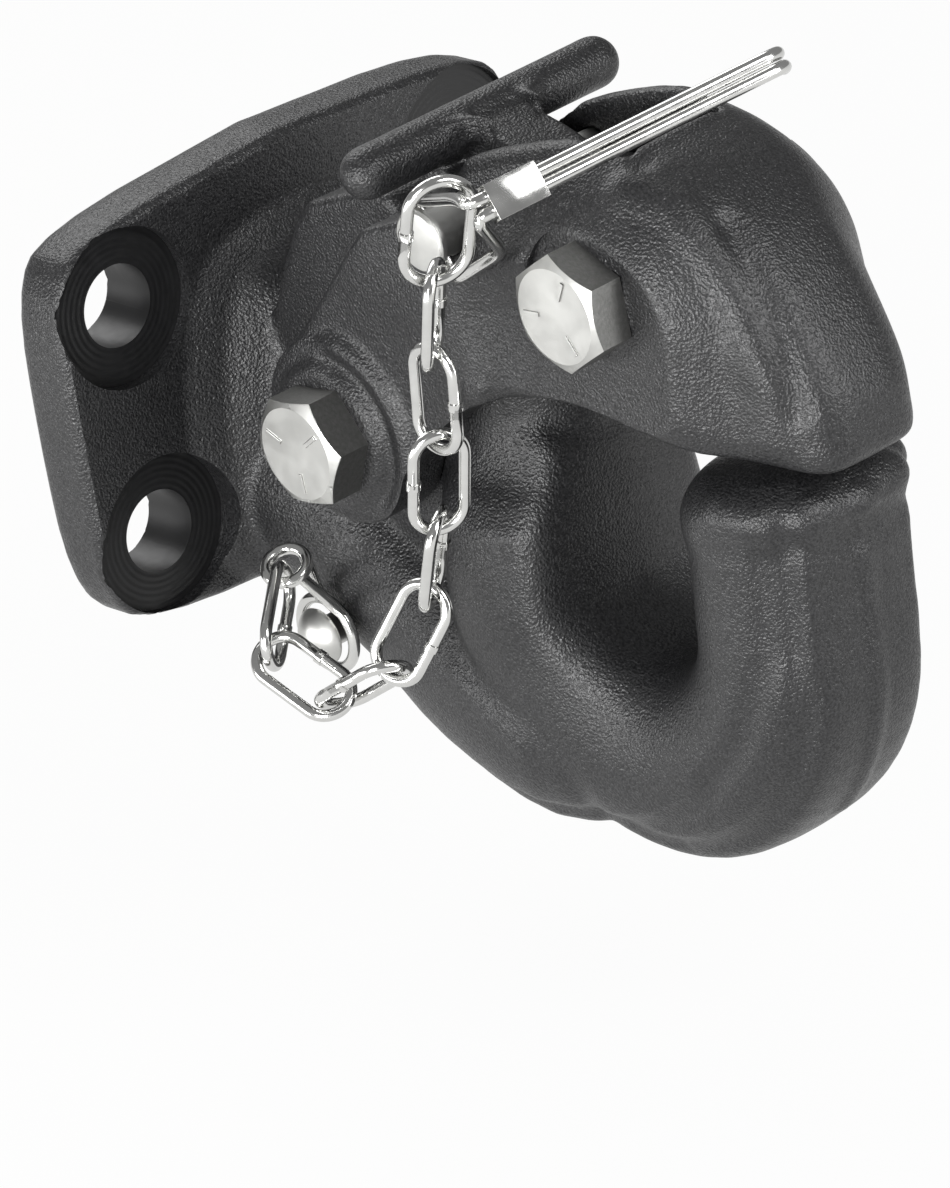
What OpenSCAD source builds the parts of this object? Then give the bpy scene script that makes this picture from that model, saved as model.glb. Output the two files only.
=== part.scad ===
// Pintle hook with a hinged upper jaw, a T-handled lock lever and a chained safety pin.
// X runs forward from the mounting face, Y across the hook, Z up. The origin is the centre
// of the four bolt holes on the mounting face. Lengths are in millimetres.

/* [Flange] */
// Width of the mounting flange
flange_w = 115; // [100:1:130]
// Height of the flange at its middle
flange_h = 82; // [76:1:96]
// Thickness of the flange
flange_t = 14.5; // [10:0.5:20]
// Diameter of the four bolt holes
hole_d = 14.3; // [10:0.1:18]
// Bolt hole spacing across the flange
hole_dy = 82.55; // [70:0.05:95]
// Bolt hole spacing up the flange
hole_dz = 44.45; // [38:0.05:52]
// Diameter of the spot face round each bolt hole
spot_d = 28.6; // [20:0.1:32]
// Depth of the spot face
spot_depth = 2.2; // [0.5:0.1:5]

/* [Neck and pivots] */
// Distance of the jaw pivot in front of the mounting face
pivot_x = 49; // [44:0.5:56]
// Height of the jaw pivot
pivot_z = -1; // [-6:0.5:4]
// Width of the neck that the jaw straddles
neck_w = 31.6; // [24:0.2:36]
// Diameter of both pivot bolts
bolt_d = 12.7; // [10:0.1:16]
// Size across the flats of the bolt heads and nuts
hex_af = 19.05; // [15:0.05:26]
// Height of the bolt heads
head_h = 7.9; // [5:0.1:10]
// Height of the nuts
nut_h = 10.9; // [7:0.1:14]

/* [Horn] */
// Width of the throat between neck and horn
throat_w = 29; // [25:0.5:36]
// Distance of the throat centre in front of the mounting face
throat_x = 106.5; // [103:0.5:111]
// Height of the throat centre
throat_z = -25.5; // [-30:0.5:-22]
// Thickness of the horn
horn_t = 33; // [28:0.5:40]
// Width of the horn
horn_w = 39; // [32:0.5:44]

/* [Upper jaw] */
// Width over the cheeks
jaw_w = 53; // [48:0.5:60]
// Diameter of the pivot eyes of the jaw
eye_d = 35; // [30:0.5:40]
// Diameter of the raised seat round each pivot hole
boss_d = 27; // [22:0.5:30]
// Distance of the lock pivot in front of the mounting face
lock_x = 119; // [116:0.5:122]
// Height of the lock pivot
lock_z = 37.5; // [35:0.5:40]
// Side play between the jaw and the neck
side_play = 0.3; // [0.2:0.05:1]

/* [Lock lever] */
// Width of the lock lever
lever_w = 22; // [16:0.5:24]
// Width of the lever under its handle bar
grip_w = 13; // [10:0.5:18]
// Length of the handle bar
bar_len = 64; // [48:1:76]
// Diameter of the handle bar
bar_d = 9.3; // [6:0.1:10]

/* [Safety pin and chain] */
// Diameter of the safety pin
pin_d = 9.5; // [8:0.1:10]
// Distance of the safety pin in front of the mounting face
pin_x = 86; // [84:0.5:88]
// Height of the safety pin
pin_z = 44.8; // [44:0.2:46]
// Wire diameter of the bail
bail_wire = 2.4; // [1.6:0.1:3]
// Wire diameter of the chain
chain_wire = 2.2; // [1.6:0.1:2.4]
// Length of a chain link inside its ends
link_in = 17.3; // [16:0.1:19]
// Width of a chain link between its sides
link_gap = 7; // [6:0.1:8]

/* [Hidden] */
$fn = 64;
half_gap = neck_w / 2 + side_play;
cheek_y = jaw_w / 2;
swing_r = 46;
lever_gap = lever_w / 2 + 0.6;
boss_y = cheek_y + 2;
spot_y = cheek_y - 2.8;
nut_y = cheek_y - 7;
jam_h = 7.9;
bail_near = [112.8, -cheek_y - 13.9, 59];
bail_far = [130.5, cheek_y - 8.5, 68.1];
bail_hole_y = -cheek_y - 1.1;
// Direction in side view of each link, from the pin down to the anchor
link_dir = [-108.6, -104.8, -97, -103, -111, -117.2, -149, -206.9, -226.7];
// Sideways lean of each link towards the body, less than nothing where it leans away
link_side = [0, 0, 0, 0, 0.02, -0.376, -0.186, -0.113, 1.065];
// Place of the chain's upper end
chain_top = [106, -cheek_y - 13.9, 62.5];
// Place of the rivet that holds the eyelet
rivet_at = [33.5, -21.5, -45];

// Point on a smooth curve through b and c, with a and d as its neighbours
function through(a, b, c, d, t) =
    0.5 * (2 * b + (c - a) * t + (2 * a - 5 * b + 4 * c - d) * t * t
           + (3 * b - a - 3 * c + d) * t * t * t);

// The stations of a list, with n steps between each pair
function stations(list, n) =
    let (last = len(list) - 1)
    [for (i = [0:last - 1]) for (k = [0:n - 1])
        through(list[max(i - 1, 0)], list[i], list[i + 1], list[min(i + 2, last)], k / n),
     list[last]];

// A closed outline with its corners cut once
function cut(p) =
    [for (i = [0:len(p) - 1])
        let (a = p[i], b = p[(i + 1) % len(p)])
        each [0.75 * a + 0.25 * b, 0.25 * a + 0.75 * b]];

// A half outline and its mirror image, rounded off
function both(half) =
    cut(cut(concat(half, [for (i = [len(half) - 1:-1:0]) [-half[i][0], half[i][1]]])));

// A skin over a row of rings that have the same number of points
module skin(rings) {
    n = len(rings[0]);
    m = len(rings);
    polyhedron(
        points = [for (r = rings) each r],
        faces = concat(
            [[for (i = [0:n - 1]) i]],
            [[for (i = [n - 1:-1:0]) (m - 1) * n + i]],
            [for (j = [0:m - 2]) for (i = [0:n - 1]) each [
                [j * n + i, (j + 1) * n + i, j * n + (i + 1) % n],
                [j * n + (i + 1) % n, (j + 1) * n + i, (j + 1) * n + (i + 1) % n]]]));
}

// A side view outline carried across the hook from y0 to y1
module across(y0, y1) {
    translate([0, y1, 0])
        rotate([90, 0, 0])
            linear_extrude(y1 - y0)
                children();
}

// A round bar along Y
module bar(x, z, d, y0, y1) {
    translate([x, y1, z])
        rotate([90, 0, 0])
            cylinder(d = d, h = y1 - y0);
}

// Outline of the flange at a distance from its back, drawn in from its full size
function flange_ring(x, inset) =
    let (hw = flange_w / 2, hh = flange_h / 2,
         c = both([[0.1, -hh], [hw - 9, 3 - hh], [hw - 1, 12 - hh], [hw, 0],
                   [hw - 1, hh - 12], [hw - 9, hh - 3], [0.1, hh]]))
    [for (q = c) [x, q[0] * (1 - inset / hw), q[1] * (1 - inset / hh)]];

module flange() {
    skin([flange_ring(0, 3), flange_ring(1.2, 1.4), flange_ring(3, 0.4), flange_ring(5.5, 0),
          flange_ring(flange_t - 1.4, 0), flange_ring(flange_t, 1.2)]);
}

// Horn section: rounded flanks, a broad rib on the outside, squarer towards the throat as s[5] nears 1
function horn_ring(s) =
    let (k = s[5],
         c = both([[0.42 + 0.16 * k, -1.0 - 0.03 * k], [0.85 + 0.13 * k, -0.78 - 0.09 * k],
                   [1.05, -0.25], [1.01, 0.3], [0.86, 0.66], [0.71, 0.7], [0.65, 0.95], [0.34, 1.04]]))
    [for (q = c) [s[0] + q[1] * s[3] * cos(s[2]), -q[0] * s[4], s[1] + q[1] * s[3] * sin(s[2])]];

// The hook proper: round the throat from the neck to the horn's tip
module horn() {
    rc = throat_w / 2 + horn_t / 2;
    h = horn_t / 2;
    w = horn_w / 2;
    slim = 1.3;
    // x, z, direction of the outside, half thickness, half width, squareness
    arc = [for (a = [-168:14:0])
        let (low = 2.4 * max(0, -sin(a)) - slim * max(0, cos(a)), side = max(0, -cos(a)))
        [throat_x + (rc + low) * cos(a), throat_z + (rc + low) * sin(a), a, h + low, w + 4.5 * side, side]];
    front = throat_x + rc - slim;
    hf = h - slim;
    rows = concat(
        [[throat_x - rc - 6, throat_z + 33, -188, h, neck_w / 2 - 1, 0.4],
         [throat_x - rc - 1.5, throat_z + 25, -184, h, neck_w / 2 - 0.6, 0.6],
         [throat_x - rc - 0.5, throat_z + 18, -181, h, neck_w / 2 + 1.6, 0.9],
         [throat_x - rc, throat_z + 10, -179, h, w + 3, 1]],
        arc,
        [[front + 1, throat_z + 14, 1, hf, w, 0],
         [front + 1.5, throat_z + 20, 2, hf + 1, w + 0.8, 0],
         [front + 1.5, throat_z + 25, 3, hf, w - 0.4, 0],
         [front + 1, throat_z + 29, 3, hf - 4, w - 5, 0],
         [front + 0.5, throat_z + 30.5, 3, hf - 11, w - 12, 0]]);
    skin([for (s = stations(rows, 2)) horn_ring(s)]);
}

// The shank under the neck, from the flange to the hook
module shank() {
    h = horn_t / 2;
    w = horn_w / 2;
    rows = [[6, -20, -97, 18, 26, 0], [24, -27, -108, 19, 23, 0], [44, -41, -115, 19, 21.5, 0],
            [62, -51, -113, h + 4, w + 3.5, 0], [82, -57.5, -105, h + 3.4, w + 3.5, 0],
            [100, -58, -98, h - 1, w - 1, 0]];
    skin([for (s = stations(rows, 3)) horn_ring(s)]);
}

module neck() {
    r = neck_w / 2;
    intersection() {
        across(-r, r)
            polygon([[8, -34], [8, 0], [20, 6], [29, 24], [34, 33], [38, 37], [47, 40], [57, 43],
                     [61, 42.6], [72, 30.1], [76, 19], [86, 13], [92, 6], [92, -24], [98, -44], [76, -62], [48, -52]]);
        linear_extrude(200, center = true) {
            translate([0, -r])
                square([pivot_x + 26, neck_w]);
            translate([pivot_x + 26, 0])
                circle(r = r);
        }
    }
}

// Flare of the neck into the flange
module root() {
    function ring(x, w, z0, z1) =
        [for (q = both([[0.6, 0], [1, 0.12], [1.02, 0.55], [0.8, 0.92], [0.4, 1.02]]))
            [x, q[0] * w, z0 + q[1] * (z1 - z0)]];
    skin([ring(6, 37, -41, 30), ring(flange_t, 33, -41, 27), ring(flange_t + 3, 26, -42, 22),
          ring(flange_t + 8, 20, -44, 18), ring(flange_t + 16, 15.5, -46, 12)]);
}

module hook_body() {
    color("dimgray")
        difference() {
            union() {
                flange();
                root();
                neck();
                shank();
                horn();
            }
            for (y = [-1, 1])
                for (z = [-1, 1])
                    translate([0, y * hole_dy / 2, z * hole_dz / 2])
                        rotate([0, 90, 0]) {
                            translate([0, 0, -1])
                                cylinder(d = hole_d, h = flange_t + 2);
                            translate([0, 0, flange_t - spot_depth])
                                cylinder(d = spot_d, h = 30);
                        }
            bar(pivot_x, pivot_z, bolt_d + 0.2, -50, 50);
            bar(rivet_at[0], rivet_at[2], 6.02, rivet_at[1] - 20, rivet_at[1] + 12);
        }
}

function jaw_ring(s) =
    let (c = both([[0.62, -0.02], [1.0, 0.04], [1.0, 0.4], [0.98, 0.7], [0.66, 0.96], [0.3, 1.02]]))
    [for (q = c) [s[0], q[0] * s[3], s[1] + q[1] * (s[2] - s[1])]];

module jaw_dome() {
    w = cheek_y;
    // x, lower edge, upper edge, half width
    rows = [[64, 2, 40, w], [74, 6, 47.5, w], [84, 10, 53.8, w], [96, 13.5, 58, w], [110, 15, 60.8, w],
            [122, 14, 59.4, w], [131.5, 12, 55.6, w - 0.8], [137.5, 10.4, 51.6, w - 3.2],
            [144, 8.8, 45.7, w - 8.4], [150.4, 7.6, 38, w - 11.6], [155.8, 7, 29.4, w - 14],
            [159.2, 8, 22.6, w - 17], [160.6, 10.5, 18.5, w - 21]];
    skin([for (s = stations(rows, 2)) jaw_ring(s)]);
}

module upper_jaw() {
    color("dimgray")
        difference() {
            union() {
                jaw_dome();
                for (m = [0, 1])
                    mirror([0, m, 0]) {
                        bar(pivot_x, pivot_z, eye_d, half_gap, cheek_y + 0.2);
                        bar(pivot_x, pivot_z, boss_d, half_gap, boss_y);
                        across(half_gap, cheek_y - 1.2)
                            polygon([[37.5, 12], [64, 40.5], [80, 46], [90, 14],
                                     [81, 8.5], [71.4, 1.4], [60.5, -13.5], [49, -1]]);
                    }
            }
            bar(pivot_x, pivot_z, swing_r * 2, -half_gap, half_gap);
            across(-lever_gap, lever_gap) {
                polygon([[40, 90], [40, 20], [88, 20], [95, 26], [lock_x + 1.4, 26], [lock_x + 1.4, 90]]);
                translate([lock_x, lock_z])
                    circle(r = 10.9);
            }
            bar(pivot_x, pivot_z, bolt_d + 0.2, -50, 50);
            bar(lock_x, lock_z, bolt_d + 0.1, -50, 50);
            bar(lock_x, lock_z, 27, -60, -spot_y);
            bar(lock_x, lock_z, 27, nut_y, 60);
            bar(pin_x, pin_z, pin_d + 0.2, -50, 50);
        }
}

module lock_lever() {
    reach = norm([pin_x - lock_x, pin_z - lock_z]);
    at = atan2(pin_z - lock_z, pin_x - lock_x);
    notch = pin_d / 2 + 0.45;
    bar_x = lock_x - 48.2;
    bar_z = lock_z + 16;
    color("dimgray") {
        difference() {
            across(-lever_w / 2, lever_w / 2)
                difference() {
                    union() {
                        polygon([[112, 44.6], [97, 48.4], [86, 52.4], [74, 55.8], [68, 49.5], [64.5, 44],
                                 [64.5, 40.2], [72, 31.4], [80, 31.4], [95, 29.5], [112, 28.5]]);
                        translate([lock_x, lock_z])
                            circle(r = 10);
                    }
                    translate([pin_x, pin_z])
                        circle(r = notch);
                    // Way out of the pin when the lever is raised
                    translate([lock_x, lock_z])
                        rotate(at)
                            intersection() {
                                difference() {
                                    circle(r = reach + notch);
                                    circle(r = reach - notch);
                                }
                                square(80);
                            }
                }
            bar(lock_x, lock_z, bolt_d + 0.2, -50, 50);
            // Narrower under the handle bar
            for (m = [0, 1])
                mirror([0, m, 0])
                    translate([bar_x - 12, grip_w / 2, bar_z - 6])
                        cube([40, lever_w, 20]);
        }
        translate([bar_x, 0, bar_z])
            rotate([90, 0, 0])
                rotate_extrude()
                    handle_half();
        // Hollow corners between the lever and its bar
        for (m = [0, 1])
            mirror([0, m, 0])
                translate([bar_x, grip_w / 2 - 1, bar_z - 1])
                    linear_extrude(bar_d / 2)
                        difference() {
                            square([bar_d / 2 + 4.5, 6]);
                            translate([bar_d / 2 + 4.5, 6])
                                circle(r = 5);
                        }
    }
}

// Half outline of the handle bar: a straight bar with rounded ends
module handle_half() {
    l = bar_len / 2;
    r = bar_d / 2;
    translate([0, -l + r])
        square([r, 2 * (l - r)]);
    for (s = [-1, 1])
        intersection() {
            translate([0, s * (l - r)])
                circle(r = r);
            translate([0, -l])
                square([r, 2 * l]);
        }
}

// Hex bolt along Y with its head on the near side, three grade lines on the head
module hex_bolt(x, z, y_seat, y_end, turn) {
    color("silver")
        translate([x, y_seat, z])
            rotate([90, 0, 0]) {
                intersection() {
                    rotate(turn)
                        cylinder(d = hex_af / cos(30), h = head_h, $fn = 6);
                    rotate_extrude()
                        polygon([[0, 0], [hex_af * 0.6, 0], [hex_af * 0.6, head_h - 1.5],
                                 [hex_af * 0.46, head_h], [0, head_h]]);
                }
                for (k = [0, 120, 240])
                    rotate(turn + 30 + k)
                        translate([hex_af * 0.2, -0.4, head_h - 0.2])
                            cube([hex_af * 0.2, 0.8, 0.5]);
                translate([0, 0, y_seat - y_end + 1])
                    cylinder(d = bolt_d, h = y_end - y_seat - 0.9);
                translate([0, 0, y_seat - y_end])
                    cylinder(d1 = bolt_d - 2, d2 = bolt_d, h = 1);
            }
}

// Hex nut along Y, seated on the far side
module hex_nut(x, z, y_seat, h, turn) {
    color("silver")
        translate([x, y_seat + h, z])
            rotate([90, 0, 0])
                difference() {
                    intersection() {
                        rotate(turn)
                            cylinder(d = hex_af / cos(30), h = h, $fn = 6);
                        rotate_extrude()
                            polygon([[0, 0], [hex_af * 0.46, 0], [hex_af * 0.6, 1.5],
                                     [hex_af * 0.6, h], [0, h]]);
                    }
                    translate([0, 0, -1])
                        cylinder(d = bolt_d, h = h + 2);
                }
}

module jaw_pivot_bolt() {
    hex_bolt(pivot_x, pivot_z, -boss_y - 0.1, boss_y + nut_h + 2.5, 5.8);
}

module jaw_pivot_nut() {
    hex_nut(pivot_x, pivot_z, boss_y + 0.1, nut_h, 12);
}

module lock_pivot_bolt() {
    hex_bolt(lock_x, lock_z, -spot_y, nut_y + jam_h + 1, 33.5);
}

module lock_pivot_nut() {
    hex_nut(lock_x, lock_z, nut_y, jam_h, 20);
}

module safety_pin() {
    head = pin_d / 2 + 1.05;
    out = cheek_y + 4.7;
    color("silver")
        translate([pin_x, 0, pin_z])
            rotate([90, 0, 0])
                difference() {
                    rotate_extrude()
                        polygon([[0, out], [head - 0.5, out], [head, out - 0.5], [head, out - 1.6],
                                 [pin_d / 2, out - 1.8], [pin_d / 2, -cheek_y - 4.5],
                                 [pin_d / 2 - 2, -cheek_y - 6.5], [0, -cheek_y - 6.5]]);
                    translate([0, 0, -bail_hole_y])
                        rotate([90, 0, 30])
                            cylinder(d = bail_wire + 0.3, h = 30, center = true);
                }
}

// A row of places with each corner rounded off over the length r
function bend(row, r) =
    let (n = len(row) - 1)
    [row[0],
     for (i = [1:n - 1])
         let (a = row[i - 1] - row[i], b = row[i + 1] - row[i],
              p = row[i] + a * min(0.45, r / norm(a)), q = row[i] + b * min(0.45, r / norm(b)))
         for (t = [0:0.2:1]) p * (1 - t) * (1 - t) + 2 * row[i] * t * (1 - t) + q * t * t,
     row[n]];

// A round wire along a row of places
module wire(d, row) {
    n = len(row) - 1;
    skin([for (i = [0:n])
        let (t = row[min(i + 1, n)] - row[max(i - 1, 0)],
             x = cross(t, [0.8, 0.3, 0.5]) / norm(cross(t, [0.8, 0.3, 0.5])),
             y = cross(x, t) / norm(t))
        [for (k = [0:15]) row[i] + d / 2 * (x * cos(22.5 * k) + y * sin(22.5 * k))]]);
}

// Bail: one wire through the pin's cross hole, both legs meet in the ferrule and lie over the jaw
module pin_bail() {
    c = [0.5, 0, -0.866];
    o = [pin_x, bail_hole_y, pin_z];
    f = c * (bail_wire / 2 + 0.08);
    tip = [-4.5, 3.6, -2.6];
    hang = chain_top + link_way(1) * 3 + [1.1, 2.4, -0.3];
    color("silver")
        wire(bail_wire, bend([bail_far - f + tip, bail_far - f, bail_near - f, hang,
                              [hang[0] - 15.6, -cheek_y - 6, 54], o - c * 7.6, o + c * 7.6,
                              [92.8, -cheek_y - 2.9, 38.6], [107, -cheek_y - 4, 47], bail_near + f,
                              bail_far + f, bail_far + f + tip], 3));
}

module bail_ferrule() {
    v = bail_far - bail_near;
    c = [0.5, 0, -0.866];
    color("silver")
        translate(bail_near)
            multmatrix(frame_of(v, c))
                difference() {
                    translate([-1.9, 3.2, -3.3])
                        cube([3.8, 10, 6.6]);
                    for (s = [-1, 1])
                        translate([0, -1, s * (bail_wire / 2 + 0.08)])
                            rotate([-90, 0, 0])
                                cylinder(d = bail_wire + 0.1, h = 16, $fn = 32);
                }
}

// Turns Y along v and Z along c, both square to each other
function frame_of(v, c) =
    let (y = v / norm(v), x = cross(y, c) / norm(cross(y, c)), z = cross(x, y))
    [[x[0], y[0], z[0], 0], [x[1], y[1], z[1], 0], [x[2], y[2], z[2], 0], [0, 0, 0, 1]];

// Direction of link i
function link_way(i) =
    let (v = [cos(link_dir[i - 1]), link_side[i - 1], sin(link_dir[i - 1])])
    v / norm(v);

// Inner end where link i begins, a little inside the end of the link before it
function link_at(i) =
    i == 1 ? chain_top
           : let (a = link_way(i - 1), b = link_way(i), m = (a + b) / norm(a + b))
             link_at(i - 1) + link_len(i - 1) * a - m * (0.65 + 2 * (1 - a * b));

// The first link is a larger one
function link_len(i) = i == 1 ? link_in + 1.2 : link_in;

// Two rounded ends and two straight sides, with a small weld on one side
module link_shape(len_in, gap, d) {
    w = gap / 2 + d / 2;
    s = len_in / 2 - gap / 2;
    for (e = [0, 180])
        rotate([0, e, 0]) {
            translate([0, 0, s])
                rotate([90, 0, 0])
                    rotate_extrude(angle = 180, $fn = 48)
                        translate([w, 0])
                            circle(d = d, $fn = 32);
            translate([w, 0, -s])
                cylinder(d = d, h = 2 * s, $fn = 32);
        }
    translate([w, 0, -0.7])
        cylinder(d = d + 0.5, h = 1.4, $fn = 32);
}

// Each link is turned a third of a circle on; the sixth a little more, where the chain bends out
module chain_link(i) {
    v = link_way(i);
    color("silver")
        translate(link_at(i) + v * link_len(i) / 2)
            rotate([0, acos(v[2]), atan2(v[1], v[0])])
                rotate(115.5 + 120.6 * (i - 1) + (i == 6 ? 25 : 0))
                    link_shape(link_len(i), i == 1 ? link_gap + 2.4 : link_gap, chain_wire);
}

// Wire eyelet: a large loop round the rivet and a small loop, square to it, for the last link
module chain_eyelet() {
    d = chain_wire;
    v = link_way(9);
    turn = atan2(v[1], v[0]);
    big = [rivet_at[0], rivet_at[1] - 2.6, rivet_at[2]];
    small = link_at(9) + v * (link_in + 2.2);
    to_big = [sin(turn), -cos(turn), 0];
    to_small = atan2(small[2] - big[2], small[0] - big[0]);
    color("silver") {
        translate(big)
            rotate([90, 0, 0])
                rotate_extrude()
                    translate([5.8 + d / 2, 0])
                        circle(d = d, $fn = 32);
        translate(small)
            rotate([0, acos(v[2]), turn])
                rotate([0, 90, 0])
                    rotate_extrude()
                        translate([2.7 + d / 2, 0])
                            circle(d = d, $fn = 32);
        for (e = [-1, 1])
            wire_run(d, small + (to_big * cos(40 * e) + v * sin(40 * e)) * (2.7 + d / 2),
                     big + [cos(to_small + 24 * e), 0, sin(to_small + 24 * e)] * (5.8 + d / 2));
    }
}

// A straight run of wire
module wire_run(d, a, b) {
    v = (b - a) / norm(b - a);
    translate(a)
        rotate([0, acos(v[2]), atan2(v[1], v[0])])
            cylinder(d = d, h = norm(b - a), $fn = 32);
}

module anchor_rivet() {
    color("silver")
        translate(rivet_at)
            rotate([90, 0, 0]) {
                translate([0, 0, -12])
                    cylinder(d = 6, h = 17);
                translate([0, 0, 4.2])
                    intersection() {
                        translate([0, 0, -2.5])
                            sphere(r = 6.2);
                        cylinder(d = 11, h = 5);
                    }
            }
}

hook_body();
upper_jaw();
lock_lever();
jaw_pivot_bolt();
jaw_pivot_nut();
lock_pivot_bolt();
lock_pivot_nut();
safety_pin();
pin_bail();
bail_ferrule();
chain_link(1);  // chain_link_1
chain_link(2);  // chain_link_2
chain_link(3);  // chain_link_3
chain_link(4);  // chain_link_4
chain_link(5);  // chain_link_5
chain_link(6);  // chain_link_6
chain_link(7);  // chain_link_7
chain_link(8);  // chain_link_8
chain_link(9);  // chain_link_9
chain_eyelet();
anchor_rivet();
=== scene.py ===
"""Pintle hook: a black coated forging with a hinged jaw, a lock lever and a pin on a chain.

The file follows the hook as it is put together: camera and studio, body, jaw, lever, bolts, pin, chain.
"""

import math

import bpy
import numpy as np
from mathutils import Matrix, Vector


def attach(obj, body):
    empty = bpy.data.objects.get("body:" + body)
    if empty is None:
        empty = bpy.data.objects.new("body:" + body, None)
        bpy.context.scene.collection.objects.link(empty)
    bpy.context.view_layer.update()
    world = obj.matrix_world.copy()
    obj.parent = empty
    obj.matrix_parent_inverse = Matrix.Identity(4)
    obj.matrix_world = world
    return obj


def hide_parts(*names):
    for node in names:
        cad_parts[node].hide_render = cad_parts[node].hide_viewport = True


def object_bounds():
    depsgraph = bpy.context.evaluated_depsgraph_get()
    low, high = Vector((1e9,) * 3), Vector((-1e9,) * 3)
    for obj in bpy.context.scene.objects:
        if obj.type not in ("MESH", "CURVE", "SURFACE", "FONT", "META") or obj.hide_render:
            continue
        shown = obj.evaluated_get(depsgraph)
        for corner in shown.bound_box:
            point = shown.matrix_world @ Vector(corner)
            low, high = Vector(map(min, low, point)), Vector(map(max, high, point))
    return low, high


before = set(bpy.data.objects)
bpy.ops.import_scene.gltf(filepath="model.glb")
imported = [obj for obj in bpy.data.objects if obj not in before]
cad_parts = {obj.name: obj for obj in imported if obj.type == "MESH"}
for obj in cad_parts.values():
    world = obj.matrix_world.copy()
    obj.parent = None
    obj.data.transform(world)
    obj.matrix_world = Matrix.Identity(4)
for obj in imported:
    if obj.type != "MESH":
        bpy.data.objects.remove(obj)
cad_low, cad_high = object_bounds()
scene = bpy.context.scene
scene.view_settings.view_transform = "Standard"


# Camera: a long lens from the front left, a little above, with the hook turned nose up in the picture.
# The place comes from matching the flange holes, the bolt heads and the outline to the picture.
azimuth = math.radians(50.658)
elevation = math.radians(24.136)
roll = math.radians(-9.593)
distance = 1.501687
shift_right = 0.038814
shift_up = -0.049752
pixels_per_mm = 5.451
picture_height = 1188
sensor = 36
back = Vector(
    (
        math.sin(azimuth) * math.cos(elevation),
        -math.cos(azimuth) * math.cos(elevation),
        math.sin(elevation),
    )
)
level = Vector((math.cos(azimuth), math.sin(azimuth), 0))
upright = back.cross(level)
right = math.cos(roll) * level + math.sin(roll) * upright
up = math.cos(roll) * upright - math.sin(roll) * level
place = back * distance + right * shift_right + up * shift_up
camera_data = bpy.data.cameras.new("camera")
camera_data.sensor_width = sensor
camera_data.lens = pixels_per_mm * distance * 1000 * sensor / picture_height
camera_data.clip_start = 0.05
camera_data.clip_end = 50
camera = bpy.data.objects.new("camera", camera_data)
camera.matrix_world = Matrix(
    (
        (right.x, up.x, back.x, place.x),
        (right.y, up.y, back.y, place.y),
        (right.z, up.z, back.z, place.z),
        (0, 0, 0, 1),
    )
)
scene.collection.objects.link(camera)
scene.camera = camera


# Studio: a pale floor 30 mm below the hook, two soft boxes on its near side, and one each in front,
# to the right and above from behind. The floor looks white to the camera and pale in the bright metal,
# and still takes a faint shadow.
floor_gap = 0.03
floor_size = 8
floor_white_to_camera = 0.95
floor_white_in_metal = 0.65
sky_strength = 0.28


def linear(colour):
    """A written sRGB hex colour as linear red, green, blue and alpha."""
    parts = [int(colour[i : i + 2], 16) / 255 for i in (1, 3, 5)]
    return [c / 12.92 if c <= 0.04045 else ((c + 0.055) / 1.055) ** 2.4 for c in parts] + [1]


def add_node(material, kind, settings=None, links=None):
    """One shader node. Lower case settings belong to the node, the others to its sockets."""
    made = material.node_tree.nodes.new(kind)
    for key, value in (settings or {}).items():
        if isinstance(key, str) and key.islower():
            setattr(made, key, value)
        else:
            made.inputs[key].default_value = value
    for key, source in (links or {}).items():
        material.node_tree.links.new(source, made.inputs[key])
    return made


def new_material(name):
    """An empty node material and its output node."""
    material = bpy.data.materials.new(name)
    material.use_nodes = True
    material.node_tree.nodes.clear()
    return material, add_node(material, "ShaderNodeOutputMaterial")


bpy.ops.object.select_all(action="DESELECT")
bpy.ops.mesh.primitive_plane_add(size=floor_size, location=(0, 0, cad_low.z - floor_gap))
floor = bpy.context.object
floor.name = "floor"
paper, paper_out = new_material("white_paper_floor")
seen = add_node(paper, "ShaderNodeLightPath")
plain = add_node(
    paper,
    "ShaderNodeMath",
    {"operation": "MULTIPLY", 1: floor_white_to_camera},
    {0: seen.outputs["Is Camera Ray"]},
)
mirrored = add_node(
    paper,
    "ShaderNodeMath",
    {"operation": "MULTIPLY", 1: floor_white_in_metal},
    {0: seen.outputs["Is Glossy Ray"]},
)
share = add_node(
    paper, "ShaderNodeMath", {"operation": "MAXIMUM"}, {0: plain.outputs[0], 1: mirrored.outputs[0]}
)
sheet = add_node(paper, "ShaderNodeBsdfDiffuse", {"Color": linear("#c9c9c7")})
glow = add_node(paper, "ShaderNodeEmission", {"Color": linear("#ffffff"), "Strength": 1.0})
both = add_node(
    paper, "ShaderNodeMixShader", None, {0: share.outputs[0], 1: sheet.outputs[0], 2: glow.outputs[0]}
)
paper.node_tree.links.new(both.outputs[0], paper_out.inputs["Surface"])
floor.data.materials.append(paper)

world = bpy.data.worlds.new("studio")
scene.world = world
world.use_nodes = True
world.node_tree.nodes.clear()
sky_out = add_node(world, "ShaderNodeOutputWorld")
sky_path = add_node(world, "ShaderNodeLightPath")
sky_level = add_node(
    world,
    "ShaderNodeMapRange",
    {"To Min": sky_strength, "To Max": 1.0},
    {"Value": sky_path.outputs["Is Camera Ray"]},
)
sky = add_node(
    world, "ShaderNodeBackground", {"Color": linear("#ffffff")}, {"Strength": sky_level.outputs["Result"]}
)
world.node_tree.links.new(sky.outputs[0], sky_out.inputs["Surface"])

lit_point = Vector((0.08, 0, -0.005))
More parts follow.
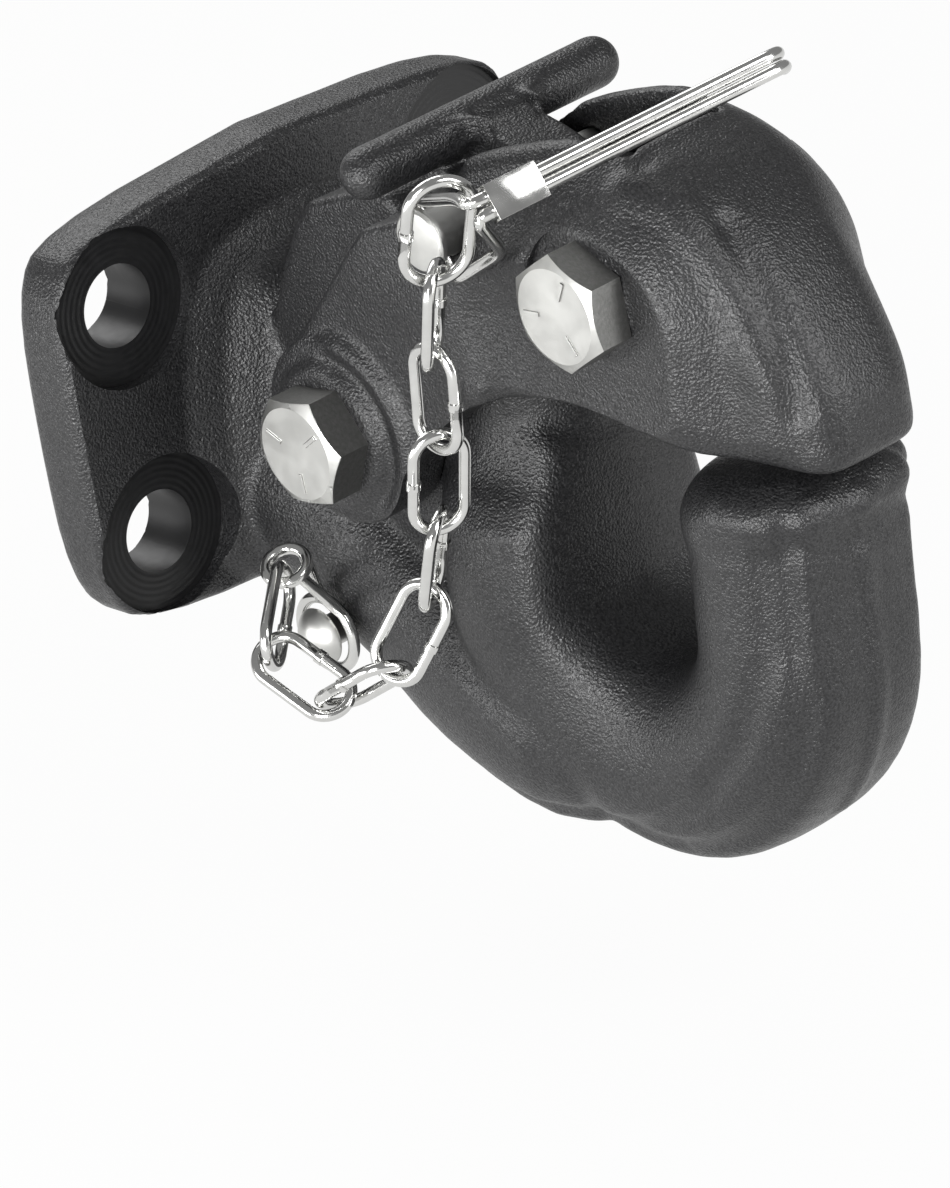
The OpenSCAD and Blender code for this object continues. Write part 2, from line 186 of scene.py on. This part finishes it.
# Direction towards the lamp, its distance, width, height and power in watts
for name, towards, away, wide, tall, power in (
    ("key_box", (0.40, -0.90, 0.10), 0.85, 0.3, 0.6, 9),
    ("near_box", (-0.35, -0.90, 0.02), 0.8, 0.5, 0.3, 3.5),
    ("front_box", (0.80, 0.05, 0.65), 0.85, 0.4, 0.3, 3),
    ("right_box", (0.95, 0.32, 0.15), 0.85, 0.22, 0.9, 4),
    ("top_box", (-0.72, 0.20, 0.68), 0.85, 0.7, 0.5, 3.5),
):
    lamp = bpy.data.lights.new(name, "AREA")
    lamp.shape = "RECTANGLE"
    lamp.size = wide
    lamp.size_y = tall
    lamp.energy = power
    holder = bpy.data.objects.new(name, lamp)
    holder.location = lit_point + Vector(towards).normalized() * away
    holder.rotation_mode = "QUATERNION"
    holder.rotation_quaternion = (holder.location - lit_point).to_track_quat("Z", "Y")
    scene.collection.objects.link(holder)


# Hook body: one closed-die forging, flange, neck, shank and horn, shot blasted and coated satin black.
# The four spot faces, the bolt holes and the pivot hole are machined before coating.
hole_y = 0.08255 / 2
hole_z = 0.04445 / 2
hole_radius = 0.0077
spot_radius = 0.0149
spot_floor = 0.0119
spot_cut_to = 0.045
hole_cut_from = -0.01
hole_cut_to = 0.03
jaw_pivot = (0.049, -0.001)
pivot_radius = 0.00645
forging_shade = math.radians(35)


def merged_copy(node, name, flatten=False):
    """A copy of a node as a new object, selected, with its loose triangles joined at their corners.

    With flatten, triangles that lie in one plane become one face."""
    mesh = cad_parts[node].data.copy()
    mesh.materials.clear()
    piece = bpy.data.objects.new(name, mesh)
    scene.collection.objects.link(piece)
    bpy.ops.object.select_all(action="DESELECT")
    piece.select_set(True)
    bpy.context.view_layer.objects.active = piece
    bpy.ops.object.mode_set(mode="EDIT")
    bpy.ops.mesh.select_all(action="SELECT")
    bpy.ops.mesh.remove_doubles(threshold=1e-6)
    if flatten:
        bpy.ops.mesh.dissolve_limited(angle_limit=math.radians(0.5))
    bpy.ops.object.mode_set(mode="OBJECT")
    return piece


def skin_values(piece, kind):
    """The places ("co") or directions ("normal") of a piece's vertices, one row each."""
    values = np.empty(len(piece.data.vertices) * 3)
    piece.data.vertices.foreach_get(kind, values)
    return values.reshape(-1, 3)


def move_skin(piece, spots):
    """Puts a piece's vertices at new places."""
    piece.data.vertices.foreach_set("co", spots.ravel())
    piece.data.update()


def forging(node, name, voxel, calm_from, calm_rounds):
    """A copy of a node with its facets run together into the soft skin of a forging.

    Behind calm_from the smoothing is held back, so that the flange keeps its edges."""
    blend = 0.012
    least = 0.08
    take, give_back = 0.5, -0.52
    piece = merged_copy(node, name)
    skin = piece.modifiers.new("skin", "REMESH")
    skin.mode = "VOXEL"
    skin.voxel_size = voxel
    skin.adaptivity = 0
    bpy.ops.object.modifier_apply(modifier="skin")
    spots = skin_values(piece, "co")
    count = len(spots)
    ends = np.empty(len(piece.data.edges) * 2, dtype=np.int64)
    piece.data.edges.foreach_get("vertices", ends)
    one, other = ends.reshape(-1, 2).T
    neighbours = np.bincount(one, minlength=count) + np.bincount(other, minlength=count)
    free = np.clip((spots[:, 0] - calm_from) / blend, least, 1)[:, None]
    # Each round takes the lumps down and then gives back what the whole form lost
    for push in (take, give_back) * calm_rounds:
        sums = [
            np.bincount(one, spots[other, k], count) + np.bincount(other, spots[one, k], count)
            for k in range(3)
        ]
        middle = np.stack(sums, axis=1) / neighbours[:, None]
        spots = spots + push * free * (middle - spots)
    move_skin(piece, spots)
    return piece


def swell(piece, path, reach, height):
    """Raises the skin along a row of places in millimetres, fading out over a reach. Below zero it sinks."""
    spots = skin_values(piece, "co")
    facing = skin_values(piece, "normal")
    away = np.full(len(spots), np.inf)
    path = np.array(path) / 1000
    for start, end in zip(path[:-1], path[1:]):
        along = end - start
        part = np.clip((spots - start) @ along / (along @ along), 0, 1)
        away = np.minimum(away, np.linalg.norm(spots - start - part[:, None] * along, axis=1))
    lift = height / 1000 * np.clip(1 - (away * 1000 / reach) ** 2, 0, 1) ** 2
    move_skin(piece, spots + lift[:, None] * facing)


def swell_both(piece, path, reach, height):
    """The same on the near side and, mirrored, on the far side."""
    swell(piece, path, reach, height)
    swell(piece, [(x, -y, z) for x, y, z in path], reach, height)


def drill(piece, start, end, radius):
    """Cuts a round hole or spot face into a piece, from start to end."""
    start = Vector(start)
    end = Vector(end)
    bpy.ops.object.select_all(action="DESELECT")
    bpy.ops.mesh.primitive_cylinder_add(vertices=96, radius=radius, depth=(end - start).length)
    tool = bpy.context.object
    tool.data.transform((end - start).to_track_quat("Z", "Y").to_matrix().to_4x4())
    tool.data.transform(Matrix.Translation((start + end) / 2))
    cut = piece.modifiers.new("cut", "BOOLEAN")
    cut.operation = "DIFFERENCE"
    cut.solver = "EXACT"
    cut.object = tool
    bpy.ops.object.select_all(action="DESELECT")
    piece.select_set(True)
    bpy.context.view_layer.objects.active = piece
    bpy.ops.object.modifier_apply(modifier="cut")
    bpy.data.objects.remove(tool)


def drill_across(piece, axis, radius, near=-0.06, far=0.06):
    """Cuts a round hole across the hook, from a near to a far place, at an axis given by its x and z."""
    drill(piece, (axis[0], near, axis[1]), (axis[0], far, axis[1]), radius)


def paint_faces(piece, index, inside):
    """Gives the faces that pass a test on their centre and normal another material."""
    for face in piece.data.polygons:
        if inside(face.center, face.normal):
            face.material_index = index


# Powder coat on a shot blasted forging: satin black, with a pebbled grain of about half a millimetre
# that breaks up the highlights, and the forging's own slow unevenness of 16 mm under it. The grain is
# as coarse as it needs to be to show in the render. Its colour varies at random over 22 mm, and the
# crowns of the finer grain are painted lighter, a painted glint standing in for the light they catch.
pebble_size = 0.0006
peel_size = 0.00045
uneven_size = 0.016
dust_size = 0.022
black_coat, coat_out = new_material("satin_black_powder_coat")
coat_place = add_node(black_coat, "ShaderNodeTexCoord")
pebble = add_node(
    black_coat,
    "ShaderNodeTexVoronoi",
    {"feature": "SMOOTH_F1", "Scale": 1 / pebble_size, "Smoothness": 0.3},
    {"Vector": coat_place.outputs["Object"]},
)
peel = add_node(
    black_coat,
    "ShaderNodeTexNoise",
    {"Scale": 1 / peel_size, "Detail": 1.0, "Roughness": 0.5},
    {"Vector": coat_place.outputs["Object"]},
)
uneven = add_node(
    black_coat,
    "ShaderNodeTexNoise",
    {"Scale": 1 / uneven_size, "Detail": 1.0, "Roughness": 0.5},
    {"Vector": coat_place.outputs["Object"]},
)
dust = add_node(
    black_coat,
    "ShaderNodeTexNoise",
    {"Scale": 1 / dust_size, "Detail": 4.0, "Roughness": 0.6},
    {"Vector": coat_place.outputs["Object"]},
)
# Painted glint: the crowns of the finer grain are lighter in colour, standing in for the light they catch;
# the slow dust tone added to it is the coat's own random variation.
crown_glint = add_node(
    black_coat,
    "ShaderNodeMapRange",
    {"From Min": 0.35, "From Max": 0.65, "To Min": 0.0, "To Max": 0.75},
    {"Value": peel.outputs["Fac"]},
)
dust_and_glint = add_node(
    black_coat,
    "ShaderNodeMath",
    {"operation": "MULTIPLY_ADD", 1: 0.25},
    {0: dust.outputs["Fac"], 2: crown_glint.outputs["Result"]},
)
tint = add_node(
    black_coat,
    "ShaderNodeMix",
    {"data_type": "RGBA", 6: linear("#08080a"), 7: linear("#2f2f30")},
    {0: dust_and_glint.outputs[0]},
)
gloss = add_node(
    black_coat,
    "ShaderNodeMapRange",
    {"From Min": 0.3, "From Max": 0.7, "To Min": 0.42, "To Max": 0.27},
    {"Value": peel.outputs["Fac"]},
)
slow = add_node(
    black_coat, "ShaderNodeBump", {"Strength": 0.25, "Distance": 0.0004}, {"Height": uneven.outputs["Fac"]}
)
grain = add_node(
    black_coat,
    "ShaderNodeBump",
    {"Strength": 1.0, "Distance": 0.0001},
    {"Height": pebble.outputs["Distance"], "Normal": slow.outputs["Normal"]},
)
fine = add_node(
    black_coat,
    "ShaderNodeBump",
    {"Strength": 1.0, "Distance": 0.0002},
    {"Height": peel.outputs["Fac"], "Normal": grain.outputs["Normal"]},
)
coat = add_node(
    black_coat,
    "ShaderNodeBsdfPrincipled",
    {"Metallic": 0.0, "IOR": 1.5},
    {
        "Base Color": tint.outputs[2],
        "Roughness": gloss.outputs["Result"],
        "Normal": fine.outputs["Normal"],
    },
)
black_coat.node_tree.links.new(coat.outputs[0], coat_out.inputs["Surface"])

# Machined faces under the coat: darker and more even, with turning rings round each bolt hole.
# The rings are drawn 1.2 mm apart, which is coarse enough to show in the render.
ring_spacing = 0.0012
speck_size = 0.0016
turned, turned_out = new_material("coated_turned_face")
turned_place = add_node(turned, "ShaderNodeTexCoord")
turned_axes = add_node(turned, "ShaderNodeSeparateXYZ", None, {0: turned_place.outputs["Object"]})
side_y = add_node(turned, "ShaderNodeMath", {"operation": "ABSOLUTE"}, {0: turned_axes.outputs["Y"]})
side_z = add_node(turned, "ShaderNodeMath", {"operation": "ABSOLUTE"}, {0: turned_axes.outputs["Z"]})
off_y = add_node(turned, "ShaderNodeMath", {"operation": "SUBTRACT", 1: hole_y}, {0: side_y.outputs[0]})
off_z = add_node(turned, "ShaderNodeMath", {"operation": "SUBTRACT", 1: hole_z}, {0: side_z.outputs[0]})
off = add_node(turned, "ShaderNodeCombineXYZ", None, {"Y": off_y.outputs[0], "Z": off_z.outputs[0]})
radius = add_node(turned, "ShaderNodeVectorMath", {"operation": "LENGTH"}, {0: off.outputs[0]})
rings = add_node(
    turned,
    "ShaderNodeMath",
    {"operation": "MULTIPLY", 1: 2 * math.pi / ring_spacing},
    {0: radius.outputs["Value"]},
)
wave = add_node(turned, "ShaderNodeMath", {"operation": "SINE"}, {0: rings.outputs[0]})
specks = add_node(
    turned,
    "ShaderNodeTexNoise",
    {"Scale": 1 / speck_size, "Detail": 3.0},
    {"Vector": turned_place.outputs["Object"]},
)
rough = add_node(
    turned, "ShaderNodeMapRange", {"To Min": 0.34, "To Max": 0.5}, {"Value": specks.outputs["Fac"]}
)
shade = add_node(
    turned,
    "ShaderNodeMix",
    {"data_type": "RGBA", 6: linear("#0e0e0f"), 7: linear("#171718")},
    {0: specks.outputs["Fac"]},
)
groove = add_node(
    turned, "ShaderNodeBump", {"Strength": 0.45, "Distance": 0.00005}, {"Height": wave.outputs[0]}
)
fleck = add_node(
    turned,
    "ShaderNodeBump",
    {"Strength": 0.3, "Distance": 0.0001},
    {"Height": specks.outputs["Fac"], "Normal": groove.outputs["Normal"]},
)
turned_shader = add_node(
    turned,
    "ShaderNodeBsdfPrincipled",
    {"Metallic": 0.0, "IOR": 1.5},
    {
        "Base Color": shade.outputs[2],
        "Roughness": rough.outputs["Result"],
        "Normal": fleck.outputs["Normal"],
    },
)
turned.node_tree.links.new(turned_shader.outputs[0], turned_out.inputs["Surface"])

# Places on the skin, in millimetres: the broad rib down the outside of the horn with a groove along each
# edge, the parting line along its middle, the shoulder below the horn's tip, and flash along the shank
rib_groove = [
    (146, -17.5, -9.5),
    (144, -18, -27),
    (136, -19.5, -44),
    (123, -19.5, -59),
    (110, -18.5, -68),
    (98, -17.5, -72),
]
rib_edge = [
    (150.5, -12.5, -9.5),
    (149, -13, -27),
    (146.5, -13.5, -35),
    (141.5, -14, -46),
    (128, -13.5, -63),
    (113, -13, -72),
]
parting_line = [(154, 0, -6), (152, 0.5, -24), (151, 0, -41), (147.5, 0, -52), (138, 0, -65)]
tip_shoulder = [(137, -18.5, 1), (145, -18, -0.5), (151.5, -12.5, -1), (154.5, 0, -2)]
tip_hollow = [(136.5, -20, -6), (145.5, -18, -6), (151.5, -12.5, -7), (153.5, 0, -8)]
shank_flash = [(66, -23.5, -46), (75, -24, -52.5), (81, -24, -56.5)]

body = forging("hook_body", "hook_forging", voxel=0.0009, calm_from=0.025, calm_rounds=110)
swell_both(body, rib_groove, reach=4.2, height=-0.9)
swell_both(body, rib_edge, reach=3.6, height=0.6)
swell(body, parting_line, reach=3.2, height=0.75)
swell_both(body, tip_shoulder, reach=4.5, height=0.7)
swell_both(body, tip_hollow, reach=5, height=-0.7)
swell(body, shank_flash, reach=2.8, height=0.35)
for y in (-hole_y, hole_y):
    for z in (-hole_z, hole_z):
        drill(body, (spot_floor, y, z), (spot_cut_to, y, z), spot_radius)
        drill(body, (hole_cut_from, y, z), (hole_cut_to, y, z), hole_radius)
drill_across(body, jaw_pivot, pivot_radius)
body.data.materials.append(black_coat)
body.data.materials.append(turned)


def is_turned(centre, normal):
    """Whether a face of the flange is the floor of a spot face or the wall of a bolt hole."""
    floor_slack = 0.0003
    rim_slack = 0.0001
    wall_slack = 0.0002
    back_slack = 0.001
    off_axis = math.hypot(abs(centre.y) - hole_y, abs(centre.z) - hole_z)
    on_floor = abs(centre.x - spot_floor) < floor_slack and off_axis < spot_radius + rim_slack
    return centre.x > -back_slack and (on_floor or off_axis < hole_radius + wall_slack)


paint_faces(body, 1, is_turned)
bpy.ops.object.shade_smooth_by_angle(angle=forging_shade)
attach(body, "body")
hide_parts("hook_body")


# Upper jaw: a forged cap that straddles the neck on two eyes and closes on the horn's tip.
# It is slotted on top for the lock lever, spot faced for the lock bolt and coated like the body.
lock_pivot = (0.119, 0.0375)
lock_hole_radius = 0.0064
lock_seat_radius = 0.0134
lock_seat_floor = -0.0237
pin_axis = (0.086, 0.0448)
pin_hole_radius = 0.00485
nose_ridge = [
    (125, -16.5, 56),
    (134, -13.5, 53.5),
    (142, -13.5, 45),
    (147.5, -14, 35),
    (150.5, -15, 23),
    (150, -15, 14.5),
]
nose_valley = [(140.5, -8.5, 49), (148, -10.5, 38.5), (152.5, -11.5, 28.5), (154.5, -12, 20)]
slot_bead = [(83, -14.5, 52.5), (98.5, -14.5, 57.5), (110.5, -13.5, 60.5)]
slot_dimple = [(123, -11, 59), (124, -11, 59)]
cheek_fold = [(119, -26, 24), (121.5, -26, 15.5)]
cheek_bump = [(87, -25.5, 14), (89.5, -25.5, 14.5)]


def dress_side(piece, axis, knots, turns, fade, sides=(-1, 1), only_down=False):
    """Brings the outer sides of a piece, round an axis across the hook, to a profile.

    The knots pair a distance from the axis with a height from the hook's middle, in millimetres. The
    profile holds between two turns in degrees and fades out beyond them; only_down leaves alone what is
    already lower."""
    outer_from = 23
    facing_from = -0.1
    edge_share = 0.6
    spots = skin_values(piece, "co") * 1000
    facing = skin_values(piece, "normal")
    along_x = spots[:, 0] - axis[0] * 1000
    along_z = spots[:, 2] - axis[1] * 1000
    away = np.hypot(along_x, along_z)
    turn = np.degrees(np.arctan2(along_z, along_x))
    middle = (turns[0] + turns[1]) / 2
    beyond = np.abs((turn - middle + 180) % 360 - 180) - (turns[1] - turns[0]) / 2
    edge = np.clip((knots[-1][0] - away) / (edge_share * (knots[-1][0] - knots[-2][0])), 0, 1)
    weight = np.clip(1 - beyond / fade, 0, 1) * edge * (away >= knots[0][0])
    goal = np.zeros(len(spots))
    for (start, first), (end, last) in zip(knots[:-1], knots[1:]):
        part = np.clip((away - start) / (end - start), 0, 1)
        goal = np.where(away >= start, first + (last - first) * part * part * (3 - 2 * part), goal)
    for side in sides:
        height = side * spots[:, 1]
        outer = (height > outer_from) & (side * facing[:, 1] > facing_from)
        change = weight * (goal - height) * outer
        spots[:, 1] += side * (np.minimum(change, 0) if only_down else change)
    move_skin(piece, spots / 1000)


jaw = forging("upper_jaw", "jaw_forging", voxel=0.0008, calm_from=0.0, calm_rounds=140)
# Ridge and valley where the cheek turns into the nose
swell(jaw, nose_ridge, reach=5.5, height=0.9)
swell(jaw, nose_valley, reach=4.6, height=-0.85)
# The cheek falls away below and in front of the lock bolt's seat
seat_slope = ((10, 23.4), (14, 23.4), (48, 26.6))
dress_side(jaw, lock_pivot, seat_slope, turns=(-165, 45), fade=35, sides=(-1,), only_down=True)
# Bead along the rim of the slot, a small dimple in front of it, a fold under the lock bolt
swell_both(jaw, slot_bead, reach=3.2, height=0.9)
swell(jaw, slot_dimple, reach=3.2, height=-0.7)
swell(jaw, cheek_fold, reach=2.6, height=-0.6)
# Pivot eye: the boss under the bolt, a hollow round it and a raised rim
eye_field = ((20, 25.3), (50, 26.5))
eye_rim = ((11.2, 28.5), (14.6, 26.4), (17.4, 27.2), (21.5, 25.3))
dress_side(jaw, jaw_pivot, eye_field, turns=(0, 70), fade=18)
dress_side(jaw, jaw_pivot, eye_rim, turns=(-45, 78), fade=18)
# A small bump at the edge of the cheek
swell(jaw, cheek_bump, reach=4, height=0.7)
drill_across(jaw, jaw_pivot, pivot_radius)
drill_across(jaw, lock_pivot, lock_hole_radius)
drill_across(jaw, lock_pivot, lock_seat_radius, far=lock_seat_floor)
drill_across(jaw, pin_axis, pin_hole_radius)
jaw.data.materials.append(black_coat)
bpy.ops.object.shade_smooth_by_angle(angle=forging_shade)
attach(jaw, "jaw")
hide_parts("upper_jaw")


# Lock lever: a forged lever in the jaw's slot, with a round cross bar as its handle.
# It turns on the lock bolt and is coated like the body.
lever = forging("lock_lever", "lever_forging", voxel=0.0006, calm_from=0.0, calm_rounds=260)
drill_across(lever, lock_pivot, pivot_radius, near=-0.03, far=0.03)
lever.data.materials.append(black_coat)
bpy.ops.object.shade_smooth_by_angle(angle=forging_shade)
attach(lever, "lever")
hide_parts("lock_lever")


# Pivot bolts, nuts and chain rivet: half inch hex hardware, bright zinc plated, drawn up on the cheeks.
# The plating is a little cloudy, so the flat faces shine unevenly, and the edges are rounded over.
cloud_size = 0.006
scuff_size = 0.0012
hexagon_edge = 0.00025
rivet_edge = 0.0002
zinc, zinc_out = new_material("bright_zinc_plate")
zinc_place = add_node(zinc, "ShaderNodeTexCoord")
cloud = add_node(
    zinc,
    "ShaderNodeTexNoise",
    {"Scale": 1 / cloud_size, "Detail": 5.0, "Roughness": 0.6},
    {"Vector": zinc_place.outputs["Object"]},
)
scuff = add_node(
    zinc,
    "ShaderNodeTexNoise",
    {"Scale": 1 / scuff_size, "Detail": 4.0, "Roughness": 0.6},
    {"Vector": zinc_place.outputs["Object"]},
)
zinc_tint = add_node(
    zinc,
    "ShaderNodeMix",
    {"data_type": "RGBA", 6: linear("#bcbcb9"), 7: linear("#d4d4d1")},
    {0: cloud.outputs["Fac"]},
)
zinc_gloss = add_node(
    zinc,
    "ShaderNodeMapRange",
    {"From Min": 0.3, "From Max": 0.7, "To Min": 0.3, "To Max": 0.45},
    {"Value": cloud.outputs["Fac"]},
)
zinc_bump = add_node(
    zinc, "ShaderNodeBump", {"Strength": 0.2, "Distance": 0.00006}, {"Height": scuff.outputs["Fac"]}
)
zinc_shader = add_node(
    zinc,
    "ShaderNodeBsdfPrincipled",
    {"Metallic": 1.0},
    {
        "Base Color": zinc_tint.outputs[2],
        "Roughness": zinc_gloss.outputs["Result"],
        "Normal": zinc_bump.outputs["Normal"],
    },
)
zinc.node_tree.links.new(zinc_shader.outputs[0], zinc_out.inputs["Surface"])

# Sides of the hexagons: the same plating over a forged, unpolished surface, greyer and speckled.
side_speck_size = 0.0007
forged_side, side_out = new_material("zinc_over_forged_side")
side_place = add_node(forged_side, "ShaderNodeTexCoord")
speck = add_node(
    forged_side,
    "ShaderNodeTexNoise",
    {"Scale": 1 / side_speck_size, "Detail": 3.0, "Roughness": 0.6},
    {"Vector": side_place.outputs["Object"]},
)
side_tint = add_node(
    forged_side,
    "ShaderNodeMix",
    {"data_type": "RGBA", 6: linear("#6f6f6d"), 7: linear("#9a9a98")},
    {0: speck.outputs["Fac"]},
)
side_bump = add_node(
    forged_side, "ShaderNodeBump", {"Strength": 0.5, "Distance": 0.00008}, {"Height": speck.outputs["Fac"]}
)
side_shader = add_node(
    forged_side,
    "ShaderNodeBsdfPrincipled",
    {"Metallic": 1.0, "Roughness": 0.42},
    {"Base Color": side_tint.outputs[2], "Normal": side_bump.outputs["Normal"]},
)
forged_side.node_tree.links.new(side_shader.outputs[0], side_out.inputs["Surface"])


def softened(node, name, width, body_name, material, limit=30, smooth=30):
    """A merged copy of a node whose edges sharper than a limit in degrees are rounded over by a width.

    A width of 0 leaves the edges as they are. Faces that meet at less than smooth degrees shade as one."""
    piece = merged_copy(node, name, flatten=True)
    if width:
        edge = piece.modifiers.new("edge", "BEVEL")
        edge.width = width
        edge.segments = 2
        edge.limit_method = "ANGLE"
        edge.angle_limit = math.radians(limit)
        bpy.ops.object.modifier_apply(modifier="edge")
    piece.data.materials.append(material)
    bpy.ops.object.shade_smooth_by_angle(angle=math.radians(smooth))
    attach(piece, body_name)
    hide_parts(node)
    return piece


def is_side(centre, normal):
    """Whether a face looks away from the bolt's axis, which lies across the hook."""
    return abs(normal.y) < 0.2


for node, name, rides_on in (
    ("jaw_pivot_bolt", "jaw_bolt", "body"),
    ("jaw_pivot_nut", "jaw_nut", "body"),
    ("lock_pivot_bolt", "lock_bolt", "jaw"),
    ("lock_pivot_nut", "lock_nut", "jaw"),
):
    hexagon = softened(node, name, hexagon_edge, rides_on, zinc, limit=40, smooth=10)
    hexagon.data.materials.append(forged_side)
    paint_faces(hexagon, 1, is_side)
    # The faces square to the axis are flat and are shaded as such
    for face in hexagon.data.polygons:
        face.use_smooth = face.use_smooth and abs(face.normal.y) < 0.999
softened("anchor_rivet", "chain_rivet", rivet_edge, "body", zinc)


# Safety pin: a headed pin across the jaw and the lever, with a cross hole for the bail.
# It slides through both cheeks, has rounded edges and is zinc plated like the bolts.
pin_edge = 0.0003
softened("safety_pin", "locking_pin", pin_edge, "pin", zinc)


# Bail, ferrule and chain: bright plated wire, bent and welded, smoother and brighter than the bolts.
# The ferrule is crimped on the bail's two legs, and the eyelet ties the last link to the rivet.
wire_cloud_size = 0.003
bail_edge = 0.0007
ferrule_edge = 0.0004
link_count = 9
wire, wire_out = new_material("bright_plated_wire")
wire_place = add_node(wire, "ShaderNodeTexCoord")
wire_cloud = add_node(
    wire,
    "ShaderNodeTexNoise",
    {"Scale": 1 / wire_cloud_size, "Detail": 4.0},
    {"Vector": wire_place.outputs["Object"]},
)
wire_tint = add_node(
    wire,
    "ShaderNodeMix",
    {"data_type": "RGBA", 6: linear("#cfcfcd"), 7: linear("#e2e2e0")},
    {0: wire_cloud.outputs["Fac"]},
)
wire_gloss = add_node(
    wire,
    "ShaderNodeMapRange",
    {"From Min": 0.3, "From Max": 0.7, "To Min": 0.1, "To Max": 0.2},
    {"Value": wire_cloud.outputs["Fac"]},
)
wire_shader = add_node(
    wire,
    "ShaderNodeBsdfPrincipled",
    {"Metallic": 1.0},
    {"Base Color": wire_tint.outputs[2], "Roughness": wire_gloss.outputs["Result"]},
)
wire.node_tree.links.new(wire_shader.outputs[0], wire_out.inputs["Surface"])

softened("pin_bail", "bail_wire", bail_edge, "bail", wire, limit=60, smooth=50)
softened("bail_ferrule", "bail_sleeve", ferrule_edge, "bail", wire)
for number in range(1, link_count + 1):
    softened("chain_link_%d" % number, "link_%d" % number, 0, "chain", wire, smooth=50)
softened("chain_eyelet", "chain_end_eyelet", 0, "chain", wire, smooth=50)
